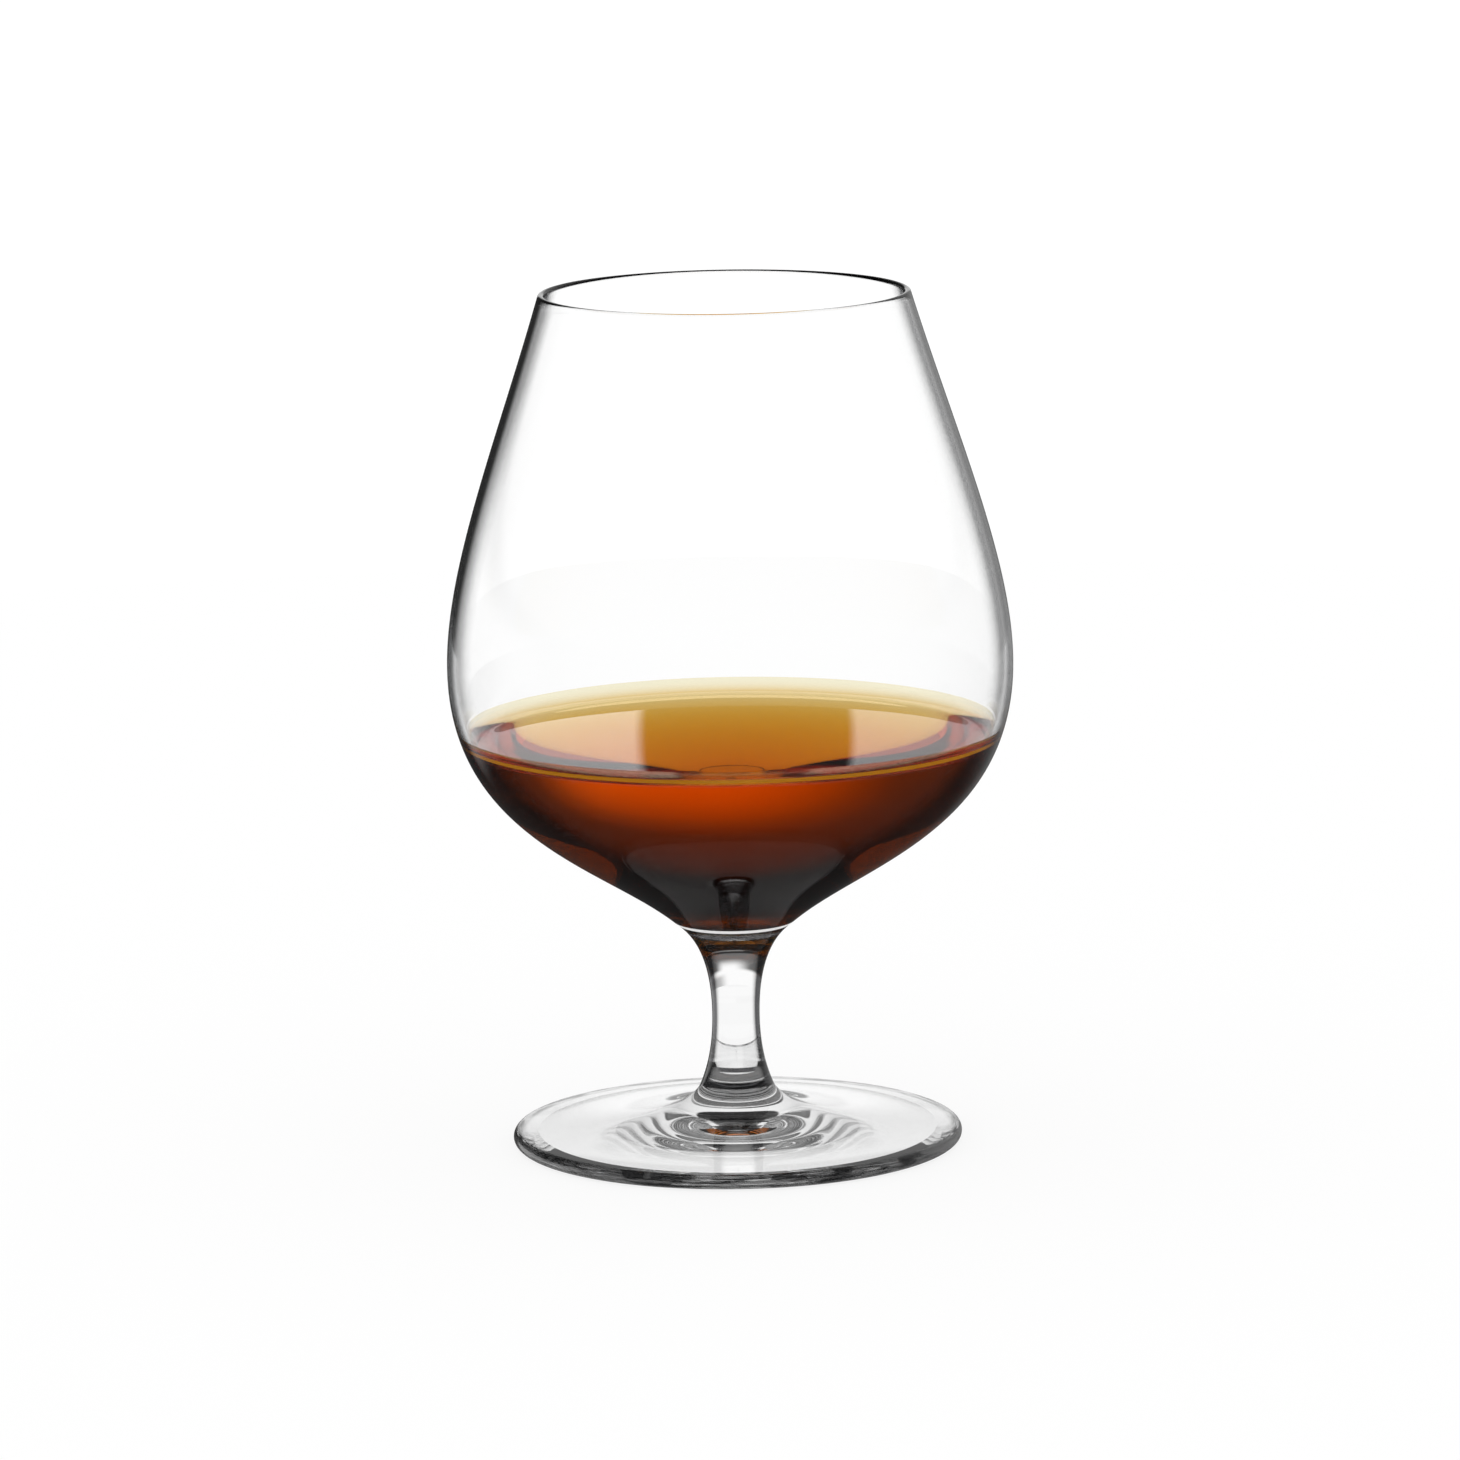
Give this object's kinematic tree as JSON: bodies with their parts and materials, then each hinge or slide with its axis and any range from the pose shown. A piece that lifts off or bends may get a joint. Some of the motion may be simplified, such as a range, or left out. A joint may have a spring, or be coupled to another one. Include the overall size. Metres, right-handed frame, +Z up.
{
  "type": "brandy snifter",
  "caption": "Short-stemmed snifter: wide blown bowl drawn in to a narrow rim, solid waisted stem and disc foot, part filled with amber brandy.",
  "frame": {"origin": "on the table, under the middle of the foot", "axes": "+Z up along the glass's own axis, +Y away from the viewer of the picture"},
  "size_m": [0.09, 0.09, 0.137],
  "materials": {
    "clear_glass": "clear, fire polished",
    "brandy": "clear liquid"
  },
  "bodies": {
    "root": {"bowl": "clear_glass", "stem": "clear_glass", "foot": "clear_glass", "brandy": "brandy"}
  },
  "joints": []
}
